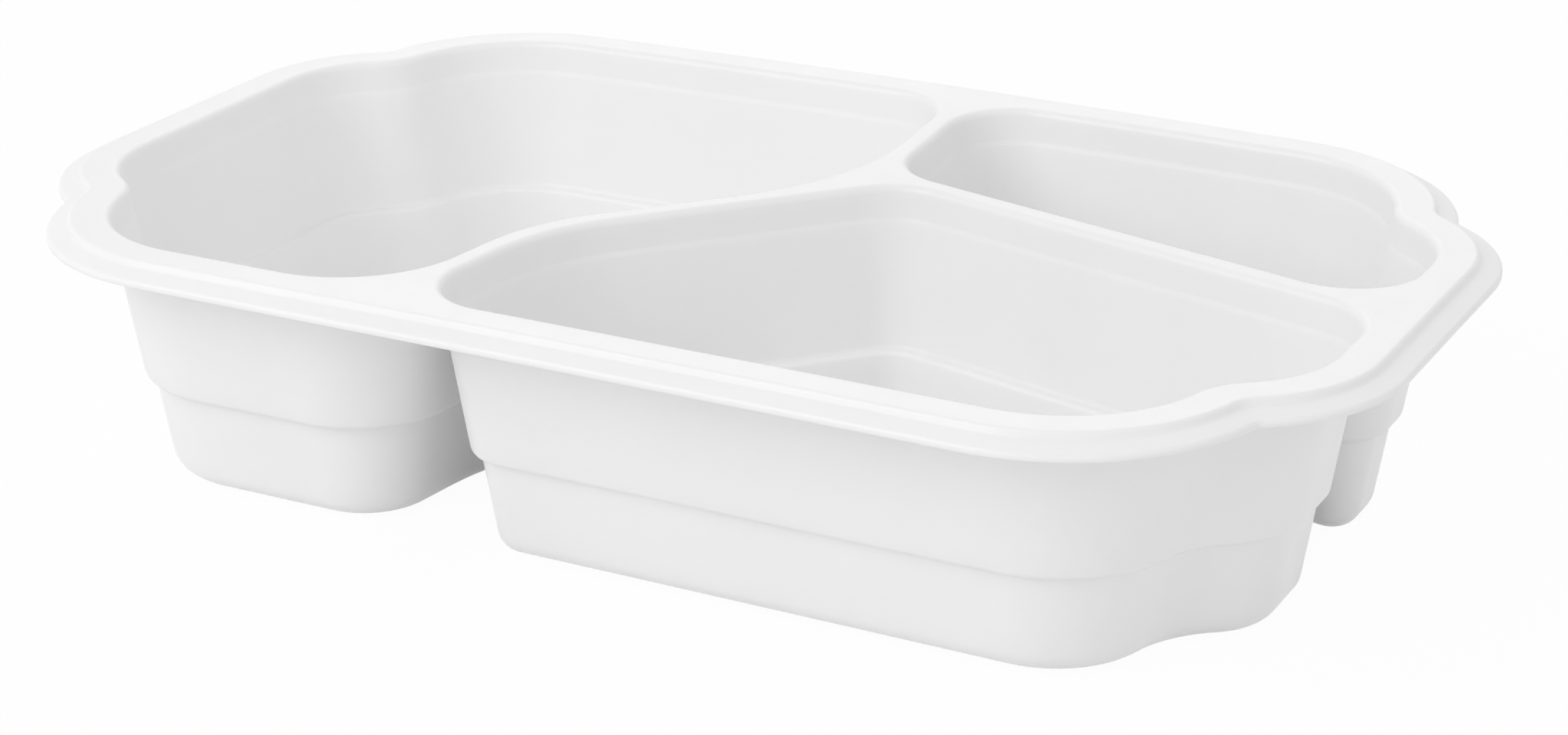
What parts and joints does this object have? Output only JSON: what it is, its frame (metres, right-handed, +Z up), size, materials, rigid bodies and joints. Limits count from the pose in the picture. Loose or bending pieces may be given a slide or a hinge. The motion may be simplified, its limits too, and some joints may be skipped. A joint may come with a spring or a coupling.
{
  "type": "compartment tray",
  "caption": "Low rectangular takeaway food tray formed from one thin sheet of bioplastic, with a flat sealing rim, lobed corners and compartments parted by curved dividers.",
  "frame": {"origin": "middle of the tray's outline, in the plane of the table that it stands on", "axes": "+X along the tray's length towards the two smaller compartments, +Y to the side with the smallest compartment, +Z up out of the compartments"},
  "size_m": [0.2656, 0.164, 0.0505],
  "materials": {
    "sheet": "satin, faintly translucent"
  },
  "bodies": {
    "root": {"tray": "sheet"}
  },
  "joints": []
}
